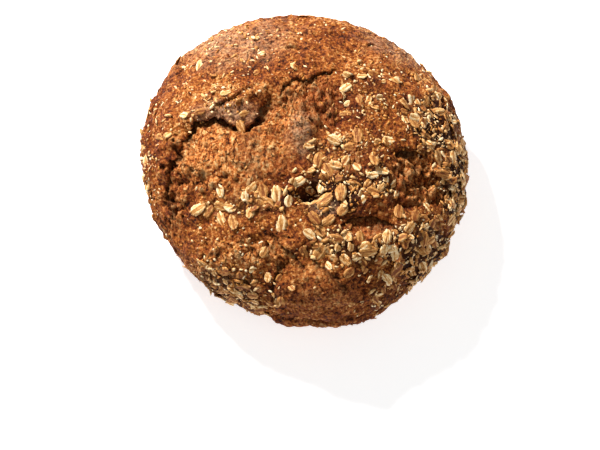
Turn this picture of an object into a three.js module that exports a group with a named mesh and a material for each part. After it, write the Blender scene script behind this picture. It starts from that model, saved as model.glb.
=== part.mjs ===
// A round sourdough loaf, baked free-standing on a flat oven floor.
//
// It is one piece: a full crown over a round belly, a heel that curves in under the belly, and a
// flat foot that it stands on. While it baked, the crown burst along a few lines. Beside each of
// those tears one edge of the crust stands up as a lip and the dough drops away on the other side.
//
// Units are millimetres, +Z is up, and the origin is the middle of the foot.

import * as THREE from "three";
import { ImprovedNoise } from "three/addons/math/ImprovedNoise.js";
import { mergeVertices } from "three/addons/utils/BufferGeometryUtils.js";

// Overall sizes.
const LOAF_WIDTH = 230; // along X
const LOAF_DEPTH = 230; // along Y
const LOAF_HEIGHT = 92;

// The side profile.
const BELLY_HEIGHT = 35; // height of the widest level
const HEEL_TUCK = 27; // how far the foot's edge lies inside the widest outline
const CROWN_FULLNESS = 2.3; // 2 makes an elliptical crown, and more makes it squarer

// The outline seen from above is a circle pulled a little out of round: each entry swells it
// `waves` times round, by `swell` as a share of its radius, with a peak at `peak` degrees.
const OUT_OF_ROUND = [
  { waves: 2, swell: 0.026, peak: -50 },
  { waves: 3, swell: 0.013, peak: 28 },
];

// Rounded swellings (rise above 0) and hollows (rise below 0) of the crown. Places are shares of
// the loaf's half width and half depth, so they follow the overall sizes.
const SWELLINGS = [
  { name: "torn bloom, left", at: [-0.44, -0.16], spread: [30, 22], rise: 5 },
  { name: "floury hump, middle", at: [-0.02, 0.06], spread: [13, 14], rise: 3 },
  { name: "crust plate over the big tear", at: [-0.44, 0.26], spread: [26, 10], rise: 3 },
  { name: "shoulder, front", at: [0.2, -0.86], spread: [24, 16], rise: 4 },
  { name: "shoulder, front left", at: [-0.5, -0.66], spread: [22, 16], rise: 3 },
  { name: "shoulder, right", at: [0.62, 0.34], spread: [26, 18], rise: 3 },
  { name: "ridge, front right", at: [0.42, -0.62], spread: [30, 9], rise: 3 },
  { name: "hollow, middle", at: [0.03, -0.35], spread: [7, 6], rise: -8 },
  { name: "torn basin, right", at: [0.72, -0.22], spread: [17, 13], rise: -6 },
];

// Tears in the crown. `line` runs along the lip with the raised crust on its left hand, in the
// same shares as the swellings. `drop` and `lip` are the groove's depth and the lip's rise.
const TEARS = [
  {
    name: "big tear",
    line: [
      [-0.8, -0.03],
      [-0.68, 0.08],
      [-0.52, 0.13],
      [-0.38, 0.13],
      [-0.25, 0.21],
      [-0.15, 0.28],
    ],
    drop: 7,
    lip: 3,
  },
  {
    name: "big tear, left end",
    line: [
      [-0.77, -0.48],
      [-0.84, -0.28],
      [-0.8, -0.08],
      [-0.7, 0.06],
    ],
    drop: 3,
    lip: 1.5,
  },
  {
    name: "big tear, back end",
    line: [
      [-0.3, 0.17],
      [-0.11, 0.31],
      [0.05, 0.4],
      [0.22, 0.45],
    ],
    drop: 3,
    lip: 1.5,
  },
  {
    name: "right tear",
    line: [
      [0.88, -0.25],
      [0.76, -0.34],
      [0.6, -0.4],
      [0.48, -0.42],
    ],
    drop: 5,
    lip: 2.5,
  },
  {
    name: "front right fold",
    line: [
      [0.22, -0.54],
      [0.37, -0.46],
      [0.54, -0.5],
    ],
    drop: 4,
    lip: 2,
  },
  {
    name: "front fold",
    line: [
      [-0.22, -0.54],
      [-0.14, -0.66],
      [-0.02, -0.76],
    ],
    drop: 3,
    lip: 1.5,
  },
];
const GROOVE_SPREAD = 9; // half width of a tear's groove
const GROOVE_OFFSET = 7; // from the tear's line to the bottom of its groove
const LIP_SPREAD = 9; // half width of the crust that lifts beside it
const LIP_OFFSET = 9; // from the tear's line to the top of its lip
const TEAR_FADE = 0.14; // share of its length over which a tear dies out at each end
const TEAR_SAMPLES = 80; // points taken along each tear's line

// Soft unevenness of hand-shaped dough: wavelength and height of each layer.
const UNEVENNESS = [
  { wavelength: 46, height: 2.2 },
  { wavelength: 19, height: 0.9 },
];

// Heights between which relief fades in, so that the foot stays flat and the heel stays plain.
const UNEVENNESS_FADE = [0, 18];
const CROWN_RELIEF_FADE = [18, 49];

// The surface starts as an even icosphere. These polar angles, in degrees down from the top,
// share its faces out between the crown, the heel and the foot.
const SURFACE_DETAIL = 19;
const CROWN_END = 110;
const HEEL_END = 147;

const { clamp, degToRad, smoothstep } = THREE.MathUtils;

// The widest outline at an azimuth, as a vector from the middle.
function outlineAt(azimuth) {
  let radius = 1;
  for (const { waves, swell, peak } of OUT_OF_ROUND) {
    radius += swell * Math.cos(waves * (azimuth - degToRad(peak)));
  }
  return new THREE.Vector2(
    (LOAF_WIDTH / 2) * radius * Math.cos(azimuth),
    (LOAF_DEPTH / 2) * radius * Math.sin(azimuth),
  );
}

// The point of the plain loaf, with no relief, that a direction of the unit sphere stands for.
function plainLoafPoint(direction) {
  const polar = Math.acos(clamp(direction.z, -1, 1)) * THREE.MathUtils.RAD2DEG;
  const widest = outlineAt(Math.atan2(direction.y, direction.x));
  const footEdge = widest.clone().setLength(widest.length() - HEEL_TUCK);
  if (polar <= CROWN_END) {
    const turn = degToRad((90 * polar) / CROWN_END);
    const reach = Math.sin(turn) ** (2 / CROWN_FULLNESS);
    const height = BELLY_HEIGHT + (LOAF_HEIGHT - BELLY_HEIGHT) * Math.cos(turn);
    return new THREE.Vector3(widest.x * reach, widest.y * reach, height);
  }
  if (polar <= HEEL_END) {
    const turn = degToRad((90 * (polar - CROWN_END)) / (HEEL_END - CROWN_END));
    const level = footEdge.lerp(widest, Math.cos(turn));
    return new THREE.Vector3(level.x, level.y, BELLY_HEIGHT * (1 - Math.sin(turn)));
  }
  const reach = (180 - polar) / (180 - HEEL_END);
  return new THREE.Vector3(footEdge.x * reach, footEdge.y * reach, 0);
}

// A tear with its line sampled in millimetres, ready to measure distances to.
function sampledTear(tear) {
  const corners = tear.line.map(
    ([x, y]) => new THREE.Vector3((x * LOAF_WIDTH) / 2, (y * LOAF_DEPTH) / 2, 0),
  );
  const curve = new THREE.CatmullRomCurve3(corners);
  return { ...tear, points: curve.getSpacedPoints(TEAR_SAMPLES) };
}

// The height that a tear adds at a place on the plan: a lip on its left, a groove on its right.
function tearRelief(tear, place) {
  let nearest = 0;
  tear.points.forEach((point, i) => {
    if (point.distanceToSquared(place) < tear.points[nearest].distanceToSquared(place)) nearest = i;
  });
  const start = tear.points[Math.max(nearest - 1, 0)];
  const end = tear.points[Math.min(nearest + 1, TEAR_SAMPLES)];
  const along = end.clone().sub(start);
  const offset = place.clone().sub(tear.points[nearest]);
  const left = Math.sign(along.x * offset.y - along.y * offset.x) * offset.length();
  const toNearerEnd = Math.min(nearest, TEAR_SAMPLES - nearest) / TEAR_SAMPLES;
  const strength = smoothstep(toNearerEnd, 0, TEAR_FADE);
  const groove = Math.exp(-(((left + GROOVE_OFFSET) / GROOVE_SPREAD) ** 2));
  const lip = Math.exp(-(((left - LIP_OFFSET) / LIP_SPREAD) ** 2));
  return strength * (tear.lip * lip - tear.drop * groove);
}

function swellingRelief({ at, spread, rise }, place) {
  const x = (place.x - (at[0] * LOAF_WIDTH) / 2) / spread[0];
  const y = (place.y - (at[1] * LOAF_DEPTH) / 2) / spread[1];
  return rise * Math.exp(-(x * x + y * y));
}

const noise = new ImprovedNoise();
const tears = TEARS.map(sampledTear);

// How far the surface moves along its normal at a point of the plain loaf.
function relief(point) {
  let unevenness = 0;
  for (const { wavelength, height } of UNEVENNESS) {
    const [x, y, z] = point.toArray().map((value) => value / wavelength);
    unevenness += height * noise.noise(x, y, z);
  }
  const place = new THREE.Vector3(point.x, point.y, 0);
  let crown = 0;
  for (const swelling of SWELLINGS) crown += swellingRelief(swelling, place);
  for (const tear of tears) crown += tearRelief(tear, place);
  const aboveFoot = smoothstep(point.z, ...UNEVENNESS_FADE);
  const onCrown = smoothstep(point.z, ...CROWN_RELIEF_FADE);
  return aboveFoot * unevenness + onCrown * crown;
}

function loafGeometry() {
  const sphere = new THREE.IcosahedronGeometry(1, SURFACE_DETAIL);
  sphere.deleteAttribute("normal");
  sphere.deleteAttribute("uv");
  const geometry = mergeVertices(sphere);
  const position = geometry.getAttribute("position");
  const point = new THREE.Vector3();
  for (let i = 0; i < position.count; i += 1) {
    point.fromBufferAttribute(position, i);
    position.setXYZ(i, ...plainLoafPoint(point.normalize()).toArray());
  }
  geometry.computeVertexNormals();
  const normals = geometry.getAttribute("normal");
  const normal = new THREE.Vector3();
  for (let i = 0; i < position.count; i += 1) {
    point.fromBufferAttribute(position, i);
    normal.fromBufferAttribute(normals, i);
    point.addScaledVector(normal, relief(point));
    position.setXYZ(i, ...point.toArray());
  }
  return fittedToSize(geometry);
}

// Centres the loaf over the origin and trims its relief to the overall sizes, foot at zero.
function fittedToSize(geometry) {
  geometry.computeBoundingBox();
  const size = geometry.boundingBox.getSize(new THREE.Vector3());
  const middle = geometry.boundingBox.getCenter(new THREE.Vector3());
  geometry.translate(-middle.x, -middle.y, 0);
  geometry.scale(LOAF_WIDTH / size.x, LOAF_DEPTH / size.y, LOAF_HEIGHT / size.z);
  geometry.computeVertexNormals();
  return geometry;
}

const bakedCrust = new THREE.MeshStandardMaterial({
  color: 0x9a5f35,
  roughness: 0.85,
  metalness: 0,
});

const loaf = new THREE.Mesh(loafGeometry(), bakedCrust);
loaf.name = "loaf";

const sourdoughLoaf = new THREE.Group();
sourdoughLoaf.add(loaf);

export default sourdoughLoaf;
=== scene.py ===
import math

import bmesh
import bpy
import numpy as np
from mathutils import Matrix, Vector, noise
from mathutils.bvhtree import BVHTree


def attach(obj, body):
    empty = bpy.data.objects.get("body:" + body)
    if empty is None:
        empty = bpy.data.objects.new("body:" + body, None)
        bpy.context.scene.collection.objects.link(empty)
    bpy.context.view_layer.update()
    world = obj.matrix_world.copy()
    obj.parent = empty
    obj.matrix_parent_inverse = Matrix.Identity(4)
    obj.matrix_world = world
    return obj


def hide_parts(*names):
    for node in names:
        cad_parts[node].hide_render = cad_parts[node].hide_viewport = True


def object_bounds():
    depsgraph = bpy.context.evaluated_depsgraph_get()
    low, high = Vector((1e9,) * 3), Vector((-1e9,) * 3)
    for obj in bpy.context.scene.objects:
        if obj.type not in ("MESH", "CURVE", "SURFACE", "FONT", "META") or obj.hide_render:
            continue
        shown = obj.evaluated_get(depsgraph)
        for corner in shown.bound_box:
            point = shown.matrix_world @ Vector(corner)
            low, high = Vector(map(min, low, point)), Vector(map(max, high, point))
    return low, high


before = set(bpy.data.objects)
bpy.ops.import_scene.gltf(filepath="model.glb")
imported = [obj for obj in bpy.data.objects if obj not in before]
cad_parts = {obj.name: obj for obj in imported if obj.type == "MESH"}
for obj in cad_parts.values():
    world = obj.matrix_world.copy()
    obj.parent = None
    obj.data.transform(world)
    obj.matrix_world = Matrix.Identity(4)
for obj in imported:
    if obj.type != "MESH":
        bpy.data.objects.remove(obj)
cad_low, cad_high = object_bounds()

# A round sourdough loaf, baked free-standing and topped with rolled oats before it went in.
#
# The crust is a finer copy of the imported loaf. Its tears, folds, pits and rough torn dough are
# moved into the mesh, and the same moves leave attributes that the crust's material reads. Rolled
# oat flakes, broken flakes and bran are strewn over it where the baker pressed the wet dough
# into a tray of them, so they lie thick on the right and front and thin on the left and back.
#
# Sizes are in millimetres and are turned to metres where a mesh or a tree takes them. Places on
# the crown are shares of the loaf's half width and half depth, and places on its side are an
# azimuth in degrees, from +X towards +Y, with a height as a share of the loaf's height.

MM = 0.001
scene = bpy.context.scene
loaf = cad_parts["loaf"]
HALF_WIDTH = (cad_high.x - cad_low.x) / 2 / MM
HALF_DEPTH = (cad_high.y - cad_low.y) / 2 / MM
HEIGHT = cad_high.z / MM

# ------------------------ where things are on the loaf

# Tears, folds and cracks. Each line keeps the raised crust on its left hand. All sizes are in mm:
# depth of the cut, width of the groove, how far the lip hangs over, how far it stands up, how far
# its edge wanders, and how far the dough in front of it swelled. The line runs through places on
# the crown or on the side.
TEARS = [
    dict(name="big tear", depth=7.5, width=4.6, overhang=3.4, lip=1.8, ragged=2.2, bulge=3.0,
         crown=[(-0.74, -0.02), (-0.72, 0.06), (-0.66, 0.13), (-0.56, 0.15), (-0.46, 0.12),
                (-0.35, 0.08), (-0.29, 0.14), (-0.24, 0.23), (-0.20, 0.29)]),
    dict(name="back end of the big tear", depth=4.0, width=2.2, overhang=2.2, lip=1.4, ragged=2.4,
         bulge=1.5,
         crown=[(-0.17, 0.21), (-0.15, 0.29), (-0.10, 0.38), (-0.04, 0.40), (0.02, 0.37),
                (0.05, 0.42), (0.12, 0.43), (0.21, 0.45)]),
    dict(name="left end of the big tear", depth=5.0, width=2.8, overhang=1.4, lip=0.8, ragged=3.8,
         bulge=1.0,
         crown=[(-0.74, -0.47), (-0.80, -0.39), (-0.84, -0.27), (-0.82, -0.16), (-0.77, -0.07),
                (-0.73, 0.02)]),
    dict(name="crack in the crust plate", depth=3.6, width=2.0, overhang=1.6, lip=1.2, ragged=1.8,
         bulge=0, crown=[(-0.55, 0.21), (-0.44, 0.24), (-0.38, 0.30), (-0.28, 0.34)]),
    dict(name="right tear", depth=8.0, width=4.4, overhang=2.2, lip=1.2, ragged=2.4, bulge=2.0,
         crown=[(0.93, -0.22), (0.87, -0.29), (0.78, -0.35), (0.70, -0.38), (0.60, -0.40),
                (0.52, -0.41)]),
    dict(name="hole beside the right tear", depth=5.5, width=3.8, overhang=1.4, lip=0.8,
         ragged=1.4, bulge=0, crown=[(0.55, -0.07), (0.61, -0.03), (0.69, -0.05)]),
    dict(name="arched fold, front right", depth=3.2, width=2.8, overhang=1.8, lip=0.8, ragged=1.2,
         bulge=1.0,
         crown=[(0.20, -0.54), (0.29, -0.48), (0.38, -0.46), (0.47, -0.48), (0.55, -0.52)]),
    dict(name="front fold", depth=1.6, width=2.4, overhang=1.0, lip=0.6, ragged=1.4, bulge=0.5,
         crown=[(-0.20, -0.56), (-0.12, -0.64), (-0.04, -0.70), (0.02, -0.79)]),
    dict(name="fold left of the front bulge", depth=2.4, width=3.0, overhang=1.0, lip=0.8,
         ragged=2.0, bulge=1.5,
         crown=[(-0.18, -0.92), (-0.19, -0.86), (-0.16, -0.78), (-0.13, -0.71)]),
    dict(name="right shoulder of the front bulge", depth=2.0, width=3.0, overhang=1.0, lip=0.6,
         ragged=2.0, bulge=2.0, crown=[(0.04, -0.72), (0.12, -0.76), (0.20, -0.82), (0.27, -0.89)]),
    dict(name="seam at the back", depth=1.2, width=1.4, overhang=0.4, lip=1.2, ragged=0.8, bulge=0,
         crown=[(-0.32, 0.84), (-0.31, 0.77), (-0.30, 0.69)]),
    dict(name="small crack at the back", depth=2.2, width=1.8, overhang=0.8, lip=0.8, ragged=1.0,
         bulge=0, crown=[(-0.13, 0.62), (-0.07, 0.64), (-0.02, 0.60)]),
    dict(name="blister at the back", depth=1.8, width=1.8, overhang=0.8, lip=1.2, ragged=0.8,
         bulge=0, crown=[(0.36, 0.66), (0.42, 0.70), (0.48, 0.67)]),
    dict(name="crease under the front bulge", depth=7.5, width=4.0, overhang=0.8, lip=0.6,
         ragged=3.2, bulge=3.0,
         side=[(-106, 0.33), (-98, 0.39), (-91, 0.45), (-84, 0.44), (-77, 0.47), (-70, 0.41),
               (-62, 0.38), (-54, 0.30)]),
    dict(name="burst seam at the back", depth=3.5, width=3.4, overhang=1.8, lip=1.0, ragged=2.0,
         bulge=1.0, side=[(128, 0.42), (112, 0.47), (97, 0.44), (84, 0.48)]),
    dict(name="burst seam at the left", depth=3.0, width=3.0, overhang=1.1, lip=0.8, ragged=2.0,
         bulge=1.0, side=[(212, 0.50), (200, 0.43), (190, 0.46), (181, 0.41)]),
]

# Patches of the crust: what each is, its middle on the crown, how far it reaches in X and in Y as
# shares of the loaf's half width and half depth, and how thick it is, where 1 is a full layer.

# Where the dough burst and its rough inside baked without a skin.
TORN_PATCHES = [
    ("bloom under the big tear", (-0.44, -0.10), (0.36, 0.25), 1),
    ("torn strip up the middle", (-0.08, 0.20), (0.30, 0.22), 1),
    ("pitted band, left", (-0.78, -0.22), (0.09, 0.28), 1),
    ("torn basin, right", (0.71, -0.20), (0.20, 0.16), 1),
    ("under the arched fold", (0.38, -0.55), (0.17, 0.07), 1),
    ("front bulge", (0.10, -0.90), (0.22, 0.15), 0.45),
    ("swirl, front left", (-0.14, -0.67), (0.12, 0.10), 1),
    ("worn patch, lower left", (-0.42, -0.72), (0.24, 0.12), 1),
    ("middle of the crown", (0.18, -0.12), (0.16, 0.16), 1),
]

# Where the torn dough stands up in coarse lumps and strands.
COARSE_PATCHES = [
    ("rough dough behind the middle", (0.08, 0.22), (0.24, 0.20), 1),
    ("torn basin, right", (0.66, -0.20), (0.19, 0.17), 1),
    ("left end of the bloom", (-0.76, -0.26), (0.16, 0.34), 0.7),
    ("swirl, front left", (-0.14, -0.67), (0.16, 0.14), 0.5),
]

# Where large pits riddle the burst dough, with painted shade in them.
PITTED_PATCHES = [
    ("pitted band, left", (-0.80, -0.26), (0.10, 0.34), 1),
    ("torn basin, right", (0.68, -0.22), (0.16, 0.13), 0.3),
    ("under the arched fold", (0.40, -0.55), (0.10, 0.05), 0.8),
    ("front bulge", (0.06, -0.86), (0.20, 0.14), 0.22),
]

# Rounded swellings and hollows: middle as a patch has it, then reach in X and Y, and rise, in mm.
SWELLINGS = [
    ("front bulge", (0.05, -0.92), (18, 16), 4.0),
    ("swirl, front left", (-0.14, -0.67), (9, 8), 2.5),
    ("dark hollow, middle", (0.03, -0.355), (6.0, 4.5), -8.0),
    ("blister at the back", (0.42, 0.64), (6, 4), 2.0),
    ("hole beside the right tear", (0.62, -0.08), (4.5, 4), -6.5),
    ("small hole beside it", (0.555, -0.075), (2.4, 2.2), -6.0),
    ("hole in the torn basin", (0.59, -0.18), (2.4, 2.2), -5.0),
    ("hollow under the arched fold", (0.38, -0.53), (13, 5), -3.0),
    ("torn basin, right", (0.68, -0.22), (15, 13), -2.2),
    ("dip behind the middle", (0.14, 0.18), (12, 12), -4.0),
    ("lump at the left of the bloom", (-0.86, -0.12), (6, 10), 2.5),
    ("hump in the middle", (-0.03, 0.01), (7.5, 15), 4.0),
    ("dip to the right of the hump", (0.10, -0.02), (5, 11), -2.5),
]

# Where the dough burst after the oats went on, so that few lie there.
BARE_PATCHES = [
    ("bloom under the big tear", (-0.44, -0.10), (0.35, 0.23), 1),
    ("torn strip up the middle", (-0.10, 0.18), (0.24, 0.20), 1),
    ("pitted band, left", (-0.78, -0.22), (0.08, 0.26), 1),
    ("torn basin, right", (0.64, -0.20), (0.13, 0.15), 1),
    ("under the arched fold", (0.38, -0.545), (0.13, 0.05), 1),
    ("front bulge", (0.10, -0.90), (0.21, 0.14), 1),
    ("swirl, front left", (-0.14, -0.67), (0.10, 0.09), 1),
]

# Where the crust is painted darker: partly where it baked darker, partly painted shade under lips and
# folds.
DARK_AND_SHADED_PATCHES = [
    ("pitted band, left", (-0.80, -0.24), (0.08, 0.26), 0.3),
    ("left rim", (-0.94, 0.22), (0.14, 0.40), 0.45),
    ("under the arched fold", (0.38, -0.545), (0.16, 0.06), 0.5),
    ("front bulge", (0.12, -0.94), (0.28, 0.12), 0.15),
    ("middle of the crown", (0.20, -0.30), (0.45, 0.22), 0.4),
    ("rough dough behind the middle", (0.13, 0.20), (0.18, 0.16), 0.55),
]

# Where flour still dusts the crust. On the lip of the big tear and on the back rim, the dusting is
# also painted sheen, lighter where the light catches the crust.
FLOUR_AND_SHEEN_PATCHES = [
    ("hump in the middle", (-0.03, 0.02), (0.09, 0.15), 1.9),
    ("lip of the big tear", (-0.46, 0.17), (0.30, 0.08), 1.2),
    ("back rim, left", (-0.45, 0.70), (0.45, 0.26), 1),
    ("back rim, right", (0.62, 0.74), (0.35, 0.22), 1),
    ("dark hollow, middle", (0.12, -0.44), (0.10, 0.08), 1),
]

# Where the oats lie thick, from 0, none, to 1, flake on flake.
OAT_PATCHES = [
    ("right shoulder", (0.78, 0.16), (0.22, 0.26), 1.0),
    ("middle of the crown", (0.16, -0.34), (0.26, 0.18), 1.0),
    ("behind the middle", (0.16, -0.12), (0.22, 0.16), 0.55),
    ("right of the middle", (0.44, -0.26), (0.18, 0.16), 0.8),
    ("band to the left", (-0.30, -0.42), (0.32, 0.10), 0.75),
    ("row in the band", (-0.22, -0.35), (0.22, 0.045), 1.0),
    ("behind the right tear", (0.40, -0.05), (0.14, 0.13), 0.45),
    ("front right", (0.34, -0.64), (0.42, 0.14), 0.85),
    ("front right rim", (0.72, -0.62), (0.26, 0.26), 0.9),
    ("right rim", (0.93, -0.18), (0.16, 0.42), 1.0),
    ("right of the front bulge", (0.50, -0.86), (0.16, 0.14), 0.5),
    ("front left rim", (-0.52, -0.86), (0.36, 0.16), 0.8),
    ("left rim", (-0.97, -0.20), (0.08, 0.40), 0.3),
    ("cluster behind the middle", (0.36, 0.30), (0.20, 0.24), 0.5),
    ("on the crust plate", (-0.46, 0.26), (0.24, 0.12), 0.4),
    ("behind the crust plate", (-0.42, 0.46), (0.20, 0.10), 0.25),
    ("front, below the fold", (-0.22, -0.86), (0.14, 0.10), 0.35),
]
OATS_ELSEWHERE = 0.035

# Where bran and crumbs stuck to the crust by themselves.
BRAN_PATCHES = [
    ("back skin, left", (-0.35, 0.55), (0.55, 0.34), 0.22),
    ("streak at the back", (-0.22, 0.72), (0.26, 0.03), 0.75),
    ("streak at the back, left", (-0.52, 0.66), (0.14, 0.03), 0.75),
    ("streak behind the crust plate", (-0.36, 0.52), (0.26, 0.04), 0.7),
    ("crust plate", (-0.50, 0.22), (0.36, 0.14), 0.5),
    ("left rim", (-0.92, 0.0), (0.12, 0.50), 0.35),
    ("right of the middle", (0.42, 0.10), (0.34, 0.30), 0.45),
    ("back right", (0.46, 0.50), (0.34, 0.24), 0.3),
    ("lower left", (-0.45, -0.62), (0.40, 0.20), 0.22),
]
BRAN_ELSEWHERE = 0.08
BRAN_AMONG_OATS = 0.86  # how much bran lies where the oats lie thick

# Large flakes that lie by themselves or on top, where they catch the eye: a place on the crown, the
# heading of the crease in degrees from +X towards +Y, and the length in mm.
LAID_FLAKES = [
    # on the lip of the big tear and the crust plate
    (-0.38, 0.08, 118, 10), (-0.36, 0.15, 20, 7), (-0.62, 0.17, 10, 7), (-0.72, 0.17, 160, 7),
    (-0.47, 0.27, 20, 8),
    # the band to the left of the middle
    (-0.62, -0.41, 25, 12), (-0.49, -0.32, 105, 9), (-0.48, -0.40, 170, 11),
    (-0.48, -0.48, 110, 11), (-0.41, -0.51, 105, 10), (-0.31, -0.32, 45, 9),
    (-0.24, -0.34, 100, 10), (-0.16, -0.36, 95, 12), (-0.03, -0.28, 35, 10),
    (-0.13, -0.53, 88, 12), (-0.23, -0.68, 60, 8),
    # the middle of the crown and behind it
    (0.08, -0.15, 80, 12), (0.18, -0.18, 165, 9), (0.14, -0.21, 120, 10), (0.31, 0.01, 95, 11),
    (0.24, 0.32, 40, 10), (0.32, 0.25, 100, 8), (0.34, 0.41, 10, 7),
    # the right shoulder
    (0.65, 0.16, 5, 9), (0.89, -0.03, 95, 10),
    # in front of the middle
    (0.12, -0.39, 35, 12), (0.21, -0.35, 85, 12), (0.22, -0.45, 50, 9), (0.06, -0.50, 130, 11),
    (0.14, -0.51, 40, 10), (0.03, -0.59, 150, 9), (0.09, -0.68, 60, 12), (0.32, -0.61, 95, 12),
    (0.37, -0.67, 8, 12), (0.48, -0.58, 80, 10), (0.55, -0.43, 85, 10), (0.61, -0.52, 55, 11),
    (0.51, -0.64, 20, 9), (0.26, -0.79, 50, 9),
]
CLEAR_OF_LAID = (3.2, 5.6)  # strewn oats thin out from the second to the first distance, in mm

# Shares of the loaf's height between which these fade in, from none below to full above.
PATCHES_ABOVE = (0.18, 0.34)
SWELLINGS_ABOVE = (0.35, 0.55)
OATS_ABOVE = (0.12, 0.30)
RELIEF_ABOVE = (2, 15)  # the heights between which the crust's relief and bran fade in, in mm

# ------------------------ mesh and noise helpers


def new_object(name, data):
    made = bpy.data.objects.new(name, data)
    scene.collection.objects.link(made)
    return made


def evaluated_mesh(piece):
    """The piece with its modifiers applied, as a plain mesh."""
    return bpy.data.meshes.new_from_object(piece.evaluated_get(bpy.context.evaluated_depsgraph_get()))


def merged_copy(node, name):
    """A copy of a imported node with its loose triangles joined."""
    mesh = node.data.copy()
    work = bmesh.new()
    work.from_mesh(mesh)
    bmesh.ops.remove_doubles(work, verts=work.verts, dist=0.01 * MM)
    work.to_mesh(mesh)
    work.free()
    mesh.materials.clear()
    return new_object(name, mesh)


def vectors(items, field):
    """One vector from each of a mesh's items, such as its vertices' places, as rows."""
    values = np.empty(len(items) * 3)
    items.foreach_get(field, values)
    return values.reshape(-1, 3)


def write_attribute(mesh, name, values):
    """Stores one number or one vector for each vertex."""
    vector = values.ndim == 2
    layer = mesh.attributes.new(name, "FLOAT_VECTOR" if vector else "FLOAT", "POINT")
    layer.data.foreach_set("vector" if vector else "value", values.astype(np.float32).ravel())


def search_tree(points, mesh):
    """Finds where a line meets a mesh, for its points in mm."""
    return BVHTree.FromPolygons(points.tolist(), [face.vertices[:] for face in mesh.polygons])


def on_crown(x, y, tree):
    """The point of a crust, in mm, at a place on the crown."""
    start = Vector((x * HALF_WIDTH, y * HALF_DEPTH, 2 * HEIGHT))
    return tree.ray_cast(start, Vector((0, 0, -1)))[0]


def on_side(azimuth, height, tree):
    """The point of a crust, in mm, at a place on its side."""
    turn = math.radians(azimuth)
    outwards = Vector((math.cos(turn), math.sin(turn), 0))
    start = 2 * HALF_WIDTH * outwards + Vector((0, 0, height * HEIGHT))
    return tree.ray_cast(start, -outwards)[0]


def laid_places(tree):
    """The points of a crust, in mm, where the listed flakes lie."""
    return [on_crown(x, y, tree) for x, y, _, _ in LAID_FLAKES]


def ramp(values, low, high):
    """0 below low, 1 above high and smooth between them."""
    share = np.clip((values - low) / (high - low), 0, 1)
    return share * share * (3 - 2 * share)


def above(points, shares):
    """0 below the first share of the loaf's height, 1 above the second and smooth between them."""
    low, high = shares
    return ramp(points[:, 2], low * HEIGHT, high * HEIGHT)


SEED_STEP = 31.7  # how far apart two seeds lie in the noise, in wavelengths
BILLOW_MIDDLE = 0.42  # what the turbulence strays about
BILLOW_GAIN = 2.2
PORE_LEAST = 0.30  # the smallest pore's reach, as a share of the spacing
PORE_MORE = 0.35  # how much more the largest pore reaches
PORE_DRAW = 7.3  # spreads the pores' middles, so that each draws its own number


def in_noise(points, wavelength, seed):
    """Points as the noise takes them, where a wavelength is 1."""
    return (points / wavelength + SEED_STEP * seed).tolist()


def clouds(points, wavelength, octaves, seed):
    """Smooth noise of a wavelength in mm, roughly from -1 to 1."""
    return np.array([noise.fractal(p, 1.0, 2.0, octaves) for p in in_noise(points, wavelength, seed)])


def billows(points, wavelength, octaves, stretch, seed):
    """Rounded tops with sharp creases between them, roughly from -1 to 1."""
    drawn_out = wavelength * np.array(stretch)
    tops = np.array([noise.turbulence(p, octaves, True) for p in in_noise(points, drawn_out, seed)])
    return BILLOW_GAIN * (tops - BILLOW_MIDDLE)


def pores(points, spacing, share, seed):
    """Round pores about a spacing apart, in a share of the places: 0 outside and 1 at the middle."""
    depth = np.zeros(len(points))
    for i, p in enumerate(in_noise(points, spacing, seed)):
        distances, middles = noise.voronoi(p)
        draw = noise.cell(middles[0] * PORE_DRAW)
        if draw < share:
            reach = PORE_LEAST + PORE_MORE * draw / share
            depth[i] = max(0.0, 1 - (distances[0] / reach) ** 2)
    return depth


# ------------------------ the crust's shape

PATCH_END = 1.15  # how far from its middle a patch ends, in reaches
PATCH_WANDER = 0.30  # how far its edge wanders, in reaches

LINE_STEP = 1.0  # between the points of a tear's line, in mm
LINE_SMOOTHINGS = 4

TEAR_CLOSES = 0.12  # the share of its length over which each end of a tear closes
TEAR_EDGE = (-0.9, 1.1)  # where the lip turns down into the groove, in mm past the line
TEAR_REACH = 12  # how far past three of its widths a tear still moves the crust, in mm
SWOLLEN_AT = 7  # how far past the groove the dough in front of it swelled most, in mm
SWOLLEN_REACH = 6  # how far from there the swelling fades, in mm
UNDERCUT_FADE = 3  # how far into the groove the undercut reaches, in mm
LIFTED_SKIN = (9, 15)  # the lifted skin ends between these distances behind the lip, in mm

# How far each kind of roughness moves the crust outwards, in mm. Burst dough is a rough sponge,
# drawn out into strands from front to back, and baked skin is smoother, with a few pores.
TORN_RELIEF = dict(lumps=1.6, strands=0.75, wrinkles=0.45, torn_pores=-1.3)
COARSE_ADDS = dict(lumps=2.8, strands=2.3, wrinkles=0.7)
SKIN_RELIEF = dict(broad=2.0, middling=0.8, wrinkles=0.5, skin_pores=-0.9, creases=-0.8)
PIT_DEPTH = 3.0
CREASE_WIDTH = 0.05  # how near to its middle the noise makes a crease

# Painted shade in the tears, hollows and pores: how deep a hollow must be for it, and how dark it is.
SHADED_HOLLOWS = (2.0, 8.0)  # hollows darken from the first depth to the second, in mm
HOLLOW_DARKNESS = 0.95  # how dark the deepest is, where a tear's bottom is 1
PORE_DARKNESS = 0.8  # the same for a pore where the dough burst
FLOUR_LOST = 0.2  # the share of the flour that is missing where the dough burst
BRAN_LOST = 0.9  # the share of the bran that is missing from the bare patches


def patch_mask(points, patches, edge_noise, soft=0.35):
    """How far inside any of the patches each point lies, from 0 to the patch's thickness, with a
    ragged edge. soft is how much of the reach the edge fades over."""
    mask = np.zeros(len(points))
    for _, (x, y), (reach_x, reach_y), thick in patches:
        dx = (points[:, 0] / HALF_WIDTH - x) / reach_x
        dy = (points[:, 1] / HALF_DEPTH - y) / reach_y
        inside = PATCH_END - np.sqrt(dx * dx + dy * dy) + PATCH_WANDER * edge_noise
        mask = np.maximum(mask, thick * ramp(inside, 0, soft))
    return mask * above(points, PATCHES_ABOVE)


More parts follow.
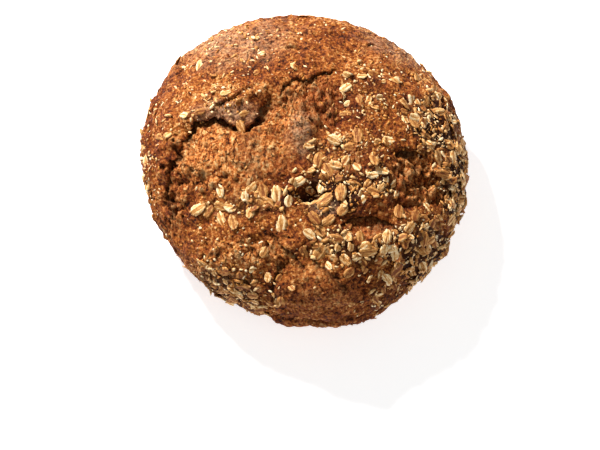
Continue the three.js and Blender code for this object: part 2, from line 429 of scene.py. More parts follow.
def even_line(corners):
    """Points an even step apart along the lines between corners, with the corners rounded."""
    corners = np.array(corners)
    lengths = np.linalg.norm(np.diff(corners, axis=0), axis=1)
    along = np.concatenate([[0], np.cumsum(lengths)])
    stops = np.arange(0, along[-1], LINE_STEP)
    line = np.stack([np.interp(stops, along, corners[:, k]) for k in range(3)], axis=1)
    for _ in range(LINE_SMOOTHINGS):
        line[1:-1] = (line[:-2] + 2 * line[1:-1] + line[2:]) / 4
    return line


def tear_moves(tear, points, normals, tree, wander):
    """Moves that open a tear in the crust, how deep in the tear each point lies (0 to 1), and how
    far it belongs to the skin that the tear lifted (0 to 1)."""
    line = even_line([on_crown(*place, tree) for place in tear.get("crown", [])]
                     + [on_side(*place, tree) for place in tear.get("side", [])])
    tangents = np.gradient(line, axis=0)
    tangents /= np.linalg.norm(tangents, axis=1, keepdims=True)
    width = tear["width"]
    reach = 3 * width + TEAR_REACH + tear["ragged"]
    near_box = np.all((points > line.min(0) - reach) & (points < line.max(0) + reach), axis=1)
    rows = np.flatnonzero(near_box)
    gaps = points[rows, None, :] - line[None]
    nearest = np.argmin((gaps ** 2).sum(2), axis=1)
    offset = gaps[np.arange(len(rows)), nearest]
    towards_lip = np.cross(normals[rows], tangents[nearest])
    towards_lip /= np.linalg.norm(towards_lip, axis=1, keepdims=True)

    # How far each point lies to the left of the line, past its end, and from its end.
    left = (offset * towards_lip).sum(1) + tear["ragged"] * wander[rows]
    beyond = np.abs((offset * tangents[nearest]).sum(1))
    from_end = np.minimum(nearest, len(line) - 1 - nearest) / (TEAR_CLOSES * len(line))

    strength = ramp(from_end, 0, 1) * (1 - ramp(beyond, 0, 0.5 * width))
    under = ramp(-left, *TEAR_EDGE)
    groove = under * np.exp(-np.maximum(-left - 0.25 * width, 0) ** 2 / width ** 2)
    lip = (1 - under) * np.exp(-np.maximum(left, 0) / width)
    swollen = np.exp(-((left + width + SWOLLEN_AT) / SWOLLEN_REACH) ** 2)
    undercut = 0.5 * tear["overhang"] * groove * np.exp(left / UNDERCUT_FADE)
    up = tear["lip"] * lip - tear["depth"] * groove + tear["bulge"] * swollen
    across = undercut - tear["overhang"] * lip

    moves = np.zeros_like(points)
    deep = np.zeros(len(points))
    lifted = np.zeros(len(points))
    moves[rows] = strength[:, None] * (up[:, None] * normals[rows] + across[:, None] * towards_lip)
    deep[rows] = strength * groove
    lifted[rows] = strength * (1 - under) * (1 - ramp(left, *LIFTED_SKIN))
    return moves, deep, lifted


def swellings(points):
    """How far the swellings and hollows move each point outwards, in mm."""
    swell = np.zeros(len(points))
    for _, (x, y), (reach_x, reach_y), rise in SWELLINGS:
        dx = (points[:, 0] - x * HALF_WIDTH) / reach_x
        dy = (points[:, 1] - y * HALF_DEPTH) / reach_y
        swell += rise * np.exp(-(dx * dx + dy * dy))
    return swell * above(points, SWELLINGS_ABOVE)


def shaped_crust():
    """The loaf's crust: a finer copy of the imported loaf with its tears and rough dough."""
    crust = merged_copy(loaf, "crust")
    finer = crust.modifiers.new("Finer", "SUBSURF")
    finer.levels = finer.render_levels = 2
    crust.data = evaluated_mesh(crust)
    crust.modifiers.clear()
    mesh = crust.data
    mesh.name = "crust"
    points = vectors(mesh.vertices, "co") / MM
    normals = vectors(mesh.vertex_normals, "vector")
    tree = search_tree(points, mesh)

    layers = dict(
        broad=clouds(points, 16, 2, seed=1), middling=clouds(points, 6.5, 2, seed=2),
        strands=billows(points, 3.4, 3, stretch=(1, 2.2, 1.5), seed=4),
        lumps=clouds(points, 9, 2, seed=5), torn_pores=pores(points, 4.4, 0.32, seed=6),
        wrinkles=clouds(points, 3.2, 3, seed=7), skin_pores=pores(points, 7.5, 0.12, seed=8),
        creases=np.exp(-(clouds(points, 10, 2, seed=11) / CREASE_WIDTH) ** 2))
    edge = layers["middling"]
    wander = clouds(points, 5.0, 3, seed=3)

    torn = patch_mask(points, TORN_PATCHES, edge)
    moves = np.zeros_like(points)
    deep = np.zeros(len(points))
    for tear in TEARS:
        tear_move, tear_deep, lifted = tear_moves(tear, points, normals, tree, wander)
        moves += tear_move
        deep = np.maximum(deep, tear_deep)
        torn *= 1 - lifted

    swell = swellings(points)
    coarse = patch_mask(points, COARSE_PATCHES, edge)
    pitted = pores(points, 4.8, 0.5, seed=12) * patch_mask(points, PITTED_PATCHES, edge)
    torn_relief = sum((height + COARSE_ADDS.get(name, 0) * coarse) * layers[name]
                      for name, height in TORN_RELIEF.items())
    skin_relief = sum(height * layers[name] for name, height in SKIN_RELIEF.items())
    relief = torn * torn_relief + (1 - torn) * skin_relief - PIT_DEPTH * pitted
    above_foot = ramp(points[:, 2], *RELIEF_ABOVE)
    moves += ((swell + relief) * above_foot)[:, None] * normals
    shaped = points + moves
    shaped[:, 2] = np.maximum(shaped[:, 2], 0)
    mesh.vertices.foreach_set("co", (shaped * MM).ravel())
    mesh.shade_smooth()
    mesh.update()

    # Hollows get painted shade, as dark as a tear's bottom where they are deepest.
    deep = np.maximum(deep, HOLLOW_DARKNESS * ramp(-swell, *SHADED_HOLLOWS))
    ragged = clouds(points, 11, 3, seed=9)
    flour_and_sheen = patch_mask(points, FLOUR_AND_SHEEN_PATCHES, ragged, soft=1.0)
    flour_and_sheen = flour_and_sheen * (1 - FLOUR_LOST * torn) * (1 - deep)
    clumps = clouds(points, 12, 3, seed=10)
    oats = np.maximum(patch_mask(points, OAT_PATCHES, clumps, soft=0.7), OATS_ELSEWHERE)
    oats *= above(points, OATS_ABOVE)
    bran = np.maximum(patch_mask(points, BRAN_PATCHES, clumps, soft=0.7), BRAN_ELSEWHERE)
    bran = np.clip(bran + BRAN_AMONG_OATS * oats, 0, 1)
    to_laid = np.min([np.linalg.norm(points - np.array(spot), axis=1) for spot in laid_places(tree)],
                     axis=0)
    bare = np.maximum(patch_mask(points, BARE_PATCHES, edge), deep)
    bare = np.maximum(bare, 1 - ramp(to_laid, *CLEAR_OF_LAID))
    # Painted shade in the pores of the burst dough.
    shaded_pores = PORE_DARKNESS * torn * layers["torn_pores"]
    # The crust's relief, which its material paints as shade in the hollows and as highlight on the
    # tops.
    relief_shade_and_highlight = (torn * (layers["strands"] + 0.4 * layers["lumps"])
                    + (1 - torn) * layers["wrinkles"])
    attributes = dict(
        torn=torn, deep=np.maximum(np.maximum(deep, shaded_pores), pitted),
        dark=patch_mask(points, DARK_AND_SHADED_PATCHES, edge), relief=relief_shade_and_highlight, flour_and_sheen=flour_and_sheen,
        oats=oats * (1 - bare), bran=bran * (1 - BRAN_LOST * bare) * above_foot, lie=normals)
    for name, values in attributes.items():
        write_attribute(mesh, name, values)
    return crust


# ------------------------ materials


def linear(hex_colour):
    """An sRGB hex colour as the linear RGBA that shaders take."""
    channels = [int(hex_colour[i:i + 2], 16) / 255 for i in (1, 3, 5)]
    return tuple(c / 12.92 if c <= 0.04045 else ((c + 0.055) / 1.055) ** 2.4 for c in channels) + (1,)


def feed(tree, node, inputs):
    """Gives a node its inputs: values, other nodes' outputs, or nodes, for their first output."""
    for key, value in inputs.items():
        if isinstance(value, bpy.types.Node):
            value = value.outputs[0]
        if isinstance(value, bpy.types.NodeSocket):
            tree.links.new(value, node.inputs[key])
        else:
            node.inputs[key].default_value = value


def add(tree, kind, inputs=None, stops=(), **settings):
    """Adds a node with its inputs and settings. stops are a ramp's places and colours."""
    made = tree.nodes.new(kind)
    for name, value in settings.items():
        setattr(made, name, value)
    feed(tree, made, inputs or {})
    for i, (place, colour) in enumerate(stops):
        elements = made.color_ramp.elements
        stop = elements[i] if i < len(elements) else elements.new(place)
        stop.position = place
        stop.color = linear(colour)
    return made


def tone(tree, layers, about):
    """Adds layers to one tone. Each comes with its middle and its weight, and where every layer
    is at its middle, the tone is what it is about."""
    total = about - sum(middle * weight for _, middle, weight in layers)
    for layer, _, weight in layers:
        total = add(tree, "ShaderNodeMath", {0: layer, 1: weight, 2: total}, operation="MULTIPLY_ADD")
    return total


def material(name):
    made = bpy.data.materials.new(name)
    made.use_nodes = True
    return made, made.node_tree, made.node_tree.nodes["Principled BSDF"]


def per_metre(wavelength):
    """A texture's scale for a wavelength in mm."""
    return 1 / (wavelength * MM)


WANDER = 1.6  # how far the edges of the crust's crumbs and cracks stray, in mm


def crust_material():
    """Baked sourdough crust: a dull red-brown skin with a thin haze of flour, partly painted sheen,
    and rough orange-brown dough where it burst, with painted shade in its tears, hollows, pores and
    cracks."""
    made, tree, surface = material("baked sourdough crust")
    torn, deep, dark, relief, flour_and_sheen, oats = (
        add(tree, "ShaderNodeAttribute", attribute_name=name).outputs["Fac"]
        for name in ("torn", "deep", "dark", "relief", "flour_and_sheen", "oats"))
    place = add(tree, "ShaderNodeTexCoord").outputs["Object"]
    drawn_out = add(tree, "ShaderNodeVectorMath", {0: place, 1: (1.0, 0.3, 0.5)}, operation="MULTIPLY")

    # Noise by its wavelength in mm: broad blotches from the oven, a finer mottle, the grain of the
    # meal, the fibres of torn dough, and what bends the edges of crumbs and cracks.
    blotches, mottle, grain, fibre, stray = (
        add(tree, "ShaderNodeTexNoise", {"Vector": at, "Scale": per_metre(wavelength),
                                         "Detail": detail, "Roughness": roughness})
        for at, wavelength, detail, roughness in (
            (place, 24, 4, 0.6), (place, 4.5, 5, 0.7), (place, 1.9, 3, 0.65),
            (drawn_out, 2.0, 3, 0.65), (place, 3.0, 2, 0.6)))
    wander = add(tree, "ShaderNodeVectorMath", {
        0: stray.outputs["Color"], 1: (WANDER * MM,) * 3, 2: (-WANDER / 2 * MM,) * 3},
        operation="MULTIPLY_ADD")
    bent = add(tree, "ShaderNodeVectorMath", {0: place, 1: wander}, operation="ADD")

    # Crumbs 1.5 mm apart, each with its own tone, and fine cracks about 4.6 mm apart, painted dark as
    # shade and pressed in by the bump, which show only where the mottle is light.
    crumbs = add(tree, "ShaderNodeTexVoronoi", {"Vector": bent, "Scale": per_metre(1.5)})
    crumb = add(tree, "ShaderNodeSeparateColor", {0: crumbs.outputs["Color"]})
    lengthened = add(tree, "ShaderNodeVectorMath", {0: bent, 1: (1.0, 0.55, 1.0)},
                     operation="MULTIPLY")
    to_crack = add(tree, "ShaderNodeTexVoronoi", {"Vector": lengthened, "Scale": per_metre(4.6)},
                   feature="DISTANCE_TO_EDGE")
    crack = add(tree, "ShaderNodeMapRange", {
        0: to_crack.outputs["Distance"], 1: 0.02, 2: 0.10, 3: 1.0, 4: 0.0})
    cracked = add(tree, "ShaderNodeMapRange", {0: mottle, 1: 0.47, 2: 0.57, 4: crack})

    # The skin's and the dough's tones follow the same noise as the bumps below and the mesh's relief,
    # so they are partly the crust's own mottle and partly painted shade in the hollows and painted
    # highlight on the tops.
    skin = add(tree, "ShaderNodeValToRGB", {0: tone(tree, [
        (mottle, 0.5, 0.55), (grain, 0.5, 1.0), (crumb, 0.5, 0.20), (blotches, 0.5, 0.6),
        (relief, 0, 0.10)], about=0.5)}, stops=[
            (0.20, "#1c0a03"), (0.36, "#622a0f"), (0.50, "#904a1b"), (0.63, "#b86d2e"),
            (0.80, "#e9b270")])
    dough = add(tree, "ShaderNodeValToRGB", {0: tone(tree, [
        (mottle, 0.5, 0.30), (grain, 0.5, 0.9), (fibre, 0.5, 0.9), (crumb, 0.5, 0.34),
        (blotches, 0.5, 0.4), (relief, 0, 0.18)], about=0.5)}, stops=[
            (0.14, "#2a0e04"), (0.30, "#823c12"), (0.45, "#bb6a2e"), (0.60, "#db904d"),
            (0.84, "#f0be80")])

    scorched = add(tree, "ShaderNodeMapRange", {0: blotches, 1: 0.50, 2: 0.62, 4: 0.5})
    skinned = add(tree, "ShaderNodeMapRange", {0: torn, 3: 1.0, 4: 0.0})
    # Painted shade on the crust under and between the oats, where they lie thick.
    shade_under_oats = add(tree, "ShaderNodeMapRange", {0: oats, 1: 0.2, 2: 0.95, 4: 0.9})
    settled = add(tree, "ShaderNodeMapRange", {
        0: tone(tree, [(mottle, 0.5, 0.5), (grain, 0.5, 0.5)], about=0.5), 1: 0.40, 2: 0.62})
    flour_and_sheen_shown = add(tree, "ShaderNodeMath", {0: flour_and_sheen, 1: settled}, operation="MULTIPLY",
                  use_clamp=True)
    dust_and_sheen = add(tree, "ShaderNodeMath", {0: flour_and_sheen_shown, 1: 0.75}, operation="MULTIPLY")
    # Painted shade in the fine cracks, stronger on torn dough, and in the tears, hollows and pores.
    in_torn = add(tree, "ShaderNodeMath", {0: torn, 1: 0.55, 2: 0.3}, operation="MULTIPLY_ADD")
    shade_in_cracks = add(tree, "ShaderNodeMath", {0: cracked, 1: in_torn}, operation="MULTIPLY")
    shade_in_tears = add(tree, "ShaderNodeMath", {0: deep, 1: 0.9}, operation="MULTIPLY")
    painted_shade = add(tree, "ShaderNodeMath", {0: shade_in_tears, 1: shade_in_cracks}, operation="MAXIMUM")
    # Over the dough's colour go random scorched blotches, the skin, darker patches that are partly
    # painted shade, painted shade under the oats, flour that is partly painted sheen, and painted
    # shade in the tears, hollows, pores and cracks.
    colour = dough
    for share, over, how in ((scorched, linear("#7b4828"), "MIX"), (skinned, skin, "MIX"),
                             (dark, linear("#ac6c48"), "MULTIPLY"),
                             (shade_under_oats, linear("#2b1207"), "MIX"),
                             (dust_and_sheen, linear("#cda27c"), "MIX"), (painted_shade, linear("#150803"), "MIX")):
        colour = add(tree, "ShaderNodeMix", {0: share, 6: colour, 7: over}, data_type="RGBA",
                     blend_type=how).outputs[2]

    torn_fibre = add(tree, "ShaderNodeMath", {0: torn, 1: fibre}, operation="MULTIPLY")
    fine = tone(tree, [(grain, 0.5, 1.0), (crumb, 0.5, 0.25), (cracked, 0, -0.6),
                       (torn_fibre, 0, 0.8)], about=0.5)
    lump = add(tree, "ShaderNodeMath", {0: mottle, 1: 0.5}, operation="SUBTRACT")
    lumpier = add(tree, "ShaderNodeMath", {0: torn, 1: 0.3, 2: 0.5}, operation="MULTIPLY_ADD")
    lumpy = add(tree, "ShaderNodeMath", {0: lump, 1: lumpier}, operation="MULTIPLY")
    bump = add(tree, "ShaderNodeBump", {"Strength": 1.0, "Distance": 1.3 * MM, "Height": fine})
    bump = add(tree, "ShaderNodeBump", {"Strength": 1.0, "Distance": 2.4 * MM, "Height": lumpy,
                                        "Normal": bump})
    rough = add(tree, "ShaderNodeMapRange", {0: mottle, 1: 0.3, 2: 0.7, 3: 0.52, 4: 0.82})
    feed(tree, surface, {"Base Color": colour, "Roughness": rough, "IOR": 1.45,
                         "Specular IOR Level": 0.12, "Normal": bump})
    return made


def oat_material(name, dark, middle, light):
    """Toasted rolled oat: a dull straw-coloured flake with fine veins along it, darker along its
    crease. Each flake is toasted a little more or less."""
    made, tree, surface = material(name)
    place = add(tree, "ShaderNodeTexCoord").outputs["Object"]
    toast, crease = (add(tree, "ShaderNodeAttribute", attribute_name=attribute).outputs["Fac"]
                     for attribute in ("toast", "crease"))
    flake = add(tree, "ShaderNodeAttribute", attribute_name="flake").outputs["Vector"]
    grain = add(tree, "ShaderNodeTexNoise", {
        "Vector": place, "Scale": per_metre(1.6), "Detail": 3.0, "Roughness": 0.65})
    # Noise drawn out along the flake, from another place for each flake, makes its veins.
    apart = add(tree, "ShaderNodeVectorMath", {0: toast, 1: (90, 90, 90)}, operation="MULTIPLY")
    along = add(tree, "ShaderNodeVectorMath", {0: flake, 1: (0.22, 1.25, 0), 2: apart},
                operation="MULTIPLY_ADD")
    veins = add(tree, "ShaderNodeTexNoise", {
        "Vector": along, "Scale": 1.0, "Detail": 2.0, "Roughness": 0.6})
    shade = tone(tree, [(veins, 0, 0.8), (grain, 0, 0.5), (toast, 0, 0.55), (crease, 0, -0.20)],
                 about=0)
    colour = add(tree, "ShaderNodeValToRGB", {0: shade},
                 stops=[(0.54, dark), (0.79, middle), (0.96, light), (1.0, "#fbe2b6")])
    bump = add(tree, "ShaderNodeBump", {"Strength": 0.8, "Distance": 0.4 * MM, "Height": shade})
    feed(tree, surface, {"Base Color": colour, "Roughness": 0.7, "Specular IOR Level": 0.3,
                         "Normal": bump})
    return made


def board_material():
    """Opal acrylic sheet, lit from below: even white, so that only a faint shadow shows on it."""
    made, tree, surface = material("opal acrylic board")
    feed(tree, surface, {"Base Color": linear("#e8e8e8"), "Roughness": 0.9,
                         "Specular IOR Level": 0.1, "Emission Color": linear("#ffffff"),
                         "Emission Strength": 0.68})
    return made


# ------------------------ oats and bran

FLAKE_LENGTH = 11.5
FLAKE_ROWS = 8  # cross rows of a flake's mesh, end to end
FLAKE_COLUMNS = 5  # lengthwise rows, the middle one in the crease
RAGGED_EDGE = 0.14  # how far a flake's long edges wander, as a share of its half width
RAGGED_END = 0.06  # how far its ends wander, as a share of its length
CREASE_DEPTH = 0.36  # as a share of its thickness

TOAST_SPREAD = 0.6  # how much browner the most toasted flake is than the least

# What the trees that lay the toppings are given. Thickness is the attribute that says how thick
# a topping lies, from none to the number per square metre. Smallest and largest are shares of the
# shapes' own size, and the tilt is in radians.
LAID = {"Tilt": 0.14, "Sunk": -0.25 * MM, "Seed": 11}
STREWN = {
    "oat_flakes": {"Thickness": "oats", "Per square metre": 26000.0, "Spacing": 5.6 * MM,
                   "Smallest": 0.5, "Largest": 0.95, "Tilt": 0.35, "Sunk": 0.1 * MM, "Seed": 3},
    "broken_oats": {"Thickness": "oats", "Per square metre": 70000.0, "Spacing": 3.2 * MM,
                    "Smallest": 0.45, "Largest": 1.2, "Tilt": 0.6, "Sunk": 0.1 * MM, "Seed": 5},
    "bran": {"Thickness": "bran", "Per square metre": 160000.0, "Spacing": 1.5 * MM,
             "Smallest": 0.35, "Largest": 1.5, "Tilt": 0.5, "Sunk": 0.2 * MM, "Seed": 7},
}


def finished_shape(name, work):
    bmesh.ops.recalc_face_normals(work, faces=work.faces)
    mesh = bpy.data.meshes.new(name)
    work.to_mesh(mesh)
    work.free()
    mesh.shade_smooth()
    return bpy.data.objects.new(name, mesh)


def flake_shape(name, length, width, thickness, seed, broken=0.0):
    """One oat flake lying flat at the origin, its crease along X. broken cuts off that share."""
    rng = np.random.default_rng(seed)
    curl, twist = rng.uniform(-0.6, 0.8), rng.uniform(-0.4, 0.4)
    blunt = rng.uniform(2.0, 3.0)
    slant = rng.uniform(-0.5, 0.5) if broken else 0
    ragged_edge = 1 + RAGGED_EDGE * rng.uniform(-1, 1, (FLAKE_ROWS, FLAKE_COLUMNS))
    ragged_end = RAGGED_END * length * rng.uniform(-1, 1, (2, FLAKE_COLUMNS))
    along = np.sin(np.linspace(-math.pi / 2, math.asin(1 - 2 * broken), FLAKE_ROWS))
    across = np.linspace(-1, 1, FLAKE_COLUMNS)
    work = bmesh.new()
    creased = work.verts.layers.float.new("crease")
    own_place = work.verts.layers.float_vector.new("flake")
    layers = []
    for upper in (True, False):
        rows = []
        for i, a in enumerate(along):
            full = max(1 - abs(a) ** blunt, 0.12) ** 0.5
            row = []
            for j, c in enumerate(across):
                x = a * length / 2
                if i == 0:
                    x += ragged_end[0, j]
                elif i == FLAKE_ROWS - 1:
                    x += ragged_end[1, j] + slant * c * full * width / 2
                y = c * full * ragged_edge[i, j] * width / 2
                z = 0.10 * length * curl * a * a + 0.25 * width * twist * a * c
                if upper:  # domed, with a groove along the crease that fades towards the ends
                    dome = (1 - c * c) * full + 0.25 * (1 - abs(c))
                    groove = CREASE_DEPTH * (c == 0) * (1 - 0.6 * abs(a))
                    z += thickness * (0.45 + 0.45 * dome - groove)
                vert = work.verts.new((x * MM, y * MM, z * MM))
                vert[creased] = (c == 0) * upper
                vert[own_place] = (x, y, 0)
                row.append(vert)
            rows.append(row)
        layers.append(rows)
    top, under = layers
    for i in range(FLAKE_ROWS - 1):
        for j in range(FLAKE_COLUMNS - 1):
            work.faces.new((top[i][j], top[i + 1][j], top[i + 1][j + 1], top[i][j + 1]))
    rim = ([(0, j) for j in range(FLAKE_COLUMNS)]
           + [(i, FLAKE_COLUMNS - 1) for i in range(1, FLAKE_ROWS)]
           + [(FLAKE_ROWS - 1, j) for j in range(FLAKE_COLUMNS - 2, -1, -1)]
           + [(i, 0) for i in range(FLAKE_ROWS - 2, 0, -1)])
    for (i, j), (k, m) in zip(rim, rim[1:] + rim[:1]):
        work.faces.new((top[i][j], top[k][m], under[k][m], under[i][j]))
    work.faces.new([under[i][j] for i, j in rim])
    # The underside is one face, so the points inside its rim go.
    for i in range(1, FLAKE_ROWS - 1):
        for j in range(1, FLAKE_COLUMNS - 1):
            work.verts.remove(under[i][j])
    return finished_shape(name, work)


def crumb_shape(name, size, thickness, seed):
    """A chip of a flake or of bran: a flat, crooked piece with five to seven corners."""
    rng = np.random.default_rng(seed)
    corners = int(rng.integers(5, 8))
    stretch = rng.uniform(1.1, 2.1)
    work = bmesh.new()
    rings = []
    for height, reach in ((0, 1.0), (thickness, 0.9)):  # the under ring and the top one
        ring = []
        for k in range(corners):
            turn = 2 * math.pi * (k + 0.3 * rng.uniform(-1, 1)) / corners
            r = reach * size / 2 * rng.uniform(0.7, 1.15)
            ring.append(work.verts.new((r * stretch * math.cos(turn) * MM,
                                        r / stretch ** 0.5 * math.sin(turn) * MM,
                                        (height + 0.15 * size * rng.uniform(0, 1)) * MM)))
        rings.append(ring)
    bottom, top = rings
    peak = work.verts.new((0, 0, (thickness * 1.3 + 0.1 * size) * MM))
    for k in range(corners):
        n = (k + 1) % corners
        work.faces.new((bottom[k], bottom[n], top[n], top[k]))
        work.faces.new((top[k], top[n], peak))
    work.faces.new(bottom[::-1])
    return finished_shape(name, work)


GIVEN_TO_BOTH = {"Geometry": "Geometry", "Shapes": "Collection", "Tilt": "Float",
                 "Sunk": "Float", "Material": "Material", "Seed": "Int"}


def new_tree(name, sockets):
    """A tree of geometry nodes with these inputs, and the outputs that stand for them in it."""
    tree = bpy.data.node_groups.new(name, "GeometryNodeTree")
    for label, kind in sockets.items():
        tree.interface.new_socket(label, in_out="INPUT", socket_type="NodeSocket" + kind)
    tree.interface.new_socket("Geometry", in_out="OUTPUT", socket_type="NodeSocketGeometry")
    return tree, add(tree, "NodeGroupInput").outputs


def drawn(tree, given, ranges):
    """A random number for each point from each range, which is kept under what is added to the
    seed for it, so that the draws differ."""
    draws = []
    for offset, (low, high) in ranges.items():
        seed = add(tree, "ShaderNodeMath", {0: given["Seed"], 1: offset}, operation="ADD")
        draws.append(add(tree, "FunctionNodeRandomValue", {"Seed": seed, 2: low, 3: high},
                         data_type="FLOAT").outputs[1])
    return draws


def lay_shapes(tree, given, points, heading, size):
    """Lays a random shape on each point, flat on the crust but for a small tilt, and sunk a
    little into it, and ends the tree with the result as one coated mesh."""
    least = add(tree, "ShaderNodeMath", {0: given["Tilt"], 1: -1.0}, operation="MULTIPLY")
    tilt_x, tilt_y, toast = drawn(tree, given, {
        2: (least, given["Tilt"]), 3: (least, given["Tilt"]), 5: (0.0, TOAST_SPREAD)})
    lie = add(tree, "GeometryNodeInputNamedAttribute", {"Name": "lie"}, data_type="FLOAT_VECTOR")
    turned = add(tree, "FunctionNodeAlignRotationToVector", {"Vector": lie}, axis="Z")
    for angles in ({"Z": heading}, {"X": tilt_x, "Y": tilt_y}):
        turn = add(tree, "ShaderNodeCombineXYZ", angles)
        turned = add(tree, "FunctionNodeRotateRotation", {0: turned, 1: turn},
                     rotation_space="LOCAL")
    shapes = add(tree, "GeometryNodeCollectionInfo", {
        "Collection": given["Shapes"], "Separate Children": True, "Reset Children": True})
    placed = add(tree, "GeometryNodeInstanceOnPoints", {
        "Points": points, "Instance": shapes, "Pick Instance": True, "Rotation": turned,
        "Scale": size})
    toasted = add(tree, "GeometryNodeStoreNamedAttribute", {
        "Geometry": placed, "Name": "toast", "Value": toast}, data_type="FLOAT", domain="INSTANCE")
    drop = add(tree, "ShaderNodeMath", {0: given["Sunk"], 1: -1.0}, operation="MULTIPLY")
    down = add(tree, "ShaderNodeCombineXYZ", {"Z": drop})
    sunk = add(tree, "GeometryNodeTranslateInstances", {"Instances": toasted, "Translation": down})
    solid = add(tree, "GeometryNodeRealizeInstances", {"Geometry": sunk})
    coated = add(tree, "GeometryNodeSetMaterial", {"Geometry": solid, "Material": given["Material"]})
    add(tree, "NodeGroupOutput", {"Geometry": coated})


def strewing_tree():
    """Strews shapes over a crust, as thick as an attribute says and no closer than a spacing."""
    tree, given = new_tree("strewn over the crust", {
        **GIVEN_TO_BOTH, "Thickness": "String", "Per square metre": "Float", "Spacing": "Float",
        "Smallest": "Float", "Largest": "Float"})
    thickness = add(tree, "GeometryNodeInputNamedAttribute", {"Name": given["Thickness"]},
                    data_type="FLOAT")
    fallen = add(tree, "GeometryNodeDistributePointsOnFaces", {
        "Mesh": given["Geometry"], "Distance Min": given["Spacing"],
        "Density Max": given["Per square metre"], "Density Factor": thickness,
        "Seed": given["Seed"]}, distribute_method="POISSON")
    heading, size = drawn(tree, given, {
        1: (0.0, 2 * math.pi), 4: (given["Smallest"], given["Largest"])})
    lay_shapes(tree, given, fallen, heading, size)
    return tree


def laying_tree():
    """Lays one shape on each vertex of a mesh, which says its heading and its size."""
    tree, given = new_tree("laid by hand", GIVEN_TO_BOTH)
    spots = add(tree, "GeometryNodeMeshToPoints", {"Mesh": given["Geometry"]})
    heading, size = (add(tree, "GeometryNodeInputNamedAttribute", {"Name": name}, data_type="FLOAT")
                     for name in ("heading", "size"))
    lay_shapes(tree, given, spots, heading, size)
    return tree


def grown_by(tree, name, base, shapes, coat, given):
    """Runs a tree on a mesh and returns what it makes as an object with a plain mesh."""
    box = bpy.data.collections.new(name + " shapes")
    for shape in shapes:
        box.objects.link(shape)
    values = {"Shapes": box, "Material": coat, **given}
    piece = new_object(name, base)
    modifier = piece.modifiers.new("Made", "NODES")
    modifier.node_group = tree
    for item in tree.interface.items_tree:
        if item.in_out == "INPUT" and item.name in values:
            modifier[item.identifier] = values[item.name]
    made = evaluated_mesh(piece)
    made.name = name
    piece.modifiers.clear()
    piece.data = made
    return piece


def laid_spots(crust):
    """A mesh with a vertex on the crust for each listed flake."""
    points = vectors(crust.data.vertices, "co") / MM
    lie = vectors(crust.data.attributes["lie"].data, "vector")
    spots = laid_places(search_tree(points, crust.data))
    nearest = [np.argmin(((points - np.array(spot)) ** 2).sum(1)) for spot in spots]
    mesh = bpy.data.meshes.new("spots")
    mesh.from_pydata([spot * MM for spot in spots], [], [])
    write_attribute(mesh, "lie", lie[nearest])
    write_attribute(mesh, "heading", np.radians([heading for _, _, heading, _ in LAID_FLAKES]))
    write_attribute(mesh, "size", np.array([length for *_, length in LAID_FLAKES]) / FLAKE_LENGTH)
    return mesh


def oats_and_bran(crust):
    """The toppings: the listed flakes, then what is strewn, each as one piece."""
    rolled = oat_material("toasted rolled oat", "#7a3c0e", "#ca8c46", "#f4d094")
    bran = oat_material("broken oat and bran", "#8a4510", "#cf8a3a", "#f8dba6")
    flakes = [flake_shape(f"flake {i}", FLAKE_LENGTH, 6.8 + 0.5 * (i % 4), 1.1, 20 + i)
              for i in range(8)]
    chips = [flake_shape(f"chip {i}", 8.5, 5.4, 1.1, 40 + i, broken=0.25 + 0.05 * i)
             for i in range(6)]
    chips += [crumb_shape(f"splinter {i}", 3.4, 1.1, 60 + i) for i in range(5)]
    crumbs = [crumb_shape(f"crumb {i}", 1.7, 0.35, 80 + i) for i in range(8)]
    large = grown_by(laying_tree(), "large_oat_flakes", laid_spots(crust), flakes, rolled, LAID)
    strewing = strewing_tree()
    made_of = {"oat_flakes": (flakes, rolled), "broken_oats": (chips, rolled),
               "bran": (crumbs, bran)}
    return [large] + [grown_by(strewing, name, crust.data.copy(), *made_of[name], given)
                      for name, given in STREWN.items()]


# ------------------------ the room

CAMERA_ELEVATION = 68
CAMERA_DISTANCE = 1.0  # from the middle of the loaf, in metres
CAMERA_AIM = 0.43  # how high on the loaf that middle is, as a share of its height
LENS = 85
SENSOR = 36
LOAF_ABOVE_MIDDLE = 0.104  # how far the loaf sits above the view's middle, in widths
LOAF_RIGHT_OF_MIDDLE = 0.0067
BOARD_REACH = 4.0  # from its middle to each edge, in metres


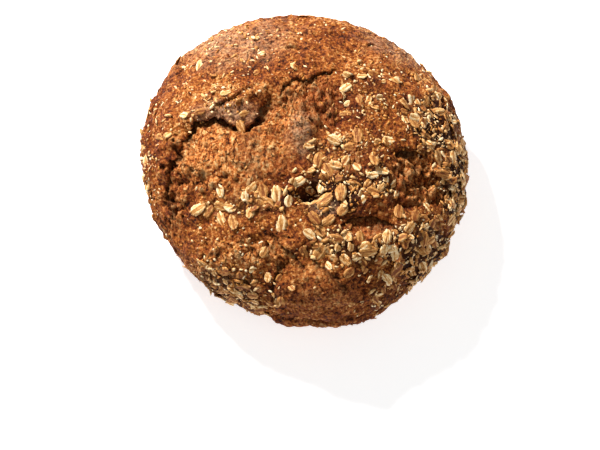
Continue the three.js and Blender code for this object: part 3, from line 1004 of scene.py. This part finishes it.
def add_camera():
    data = bpy.data.cameras.new("camera")
    data.lens = LENS
    data.sensor_width = SENSOR
    camera = new_object("camera", data)
    middle = Vector((0, 0, CAMERA_AIM * cad_high.z))
    rise = math.radians(CAMERA_ELEVATION)
    forwards = Vector((0, math.cos(rise), -math.sin(rise)))
    upwards = Vector((0, math.sin(rise), math.cos(rise)))
    camera.location = middle - CAMERA_DISTANCE * forwards
    spread = SENSOR / LENS
    aim = (forwards - spread * LOAF_ABOVE_MIDDLE * upwards
           - spread * LOAF_RIGHT_OF_MIDDLE * Vector((1, 0, 0)))
    camera.rotation_euler = aim.to_track_quat("-Z", "Y").to_euler()
    scene.camera = camera


def add_light(name, azimuth, elevation, distance, size, watts):
    """A round soft light that points at the origin. Distance and size are in metres."""
    data = bpy.data.lights.new(name, "AREA")
    data.shape = "DISK"
    data.size = size
    data.energy = watts
    light = new_object(name, data)
    turn, rise = math.radians(azimuth), math.radians(elevation)
    out = Vector((math.cos(turn) * math.cos(rise), math.sin(turn) * math.cos(rise), math.sin(rise)))
    light.location = distance * out
    light.rotation_euler = (-out).to_track_quat("-Z", "Y").to_euler()


def add_room():
    """The board that the loaf lies on, a low key light from the back left and a soft fill."""
    mesh = bpy.data.meshes.new("board")
    corners = [(x * BOARD_REACH, y * BOARD_REACH, 0) for x, y in ((-1, -1), (1, -1), (1, 1), (-1, 1))]
    mesh.from_pydata(corners, [], [(0, 1, 2, 3)])
    board = new_object("board", mesh)
    mesh.materials.append(board_material())
    add_light("key", azimuth=126, elevation=44, distance=1.6, size=0.22, watts=49)
    add_light("fill", azimuth=-60, elevation=60, distance=2.0, size=1.6, watts=5)
    world = bpy.data.worlds.new("studio")
    world.use_nodes = True
    feed(world.node_tree, world.node_tree.nodes["Background"], {
        "Color": linear("#ffffff"), "Strength": 0.24})
    scene.world = world
    scene.view_settings.view_transform = "Standard"


# ------------------------ the loaf

crust = shaped_crust()
crust.data.materials.append(crust_material())
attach(crust, "root")
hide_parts("loaf")

for topping in oats_and_bran(crust):
    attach(topping, "root")

add_camera()
add_room()
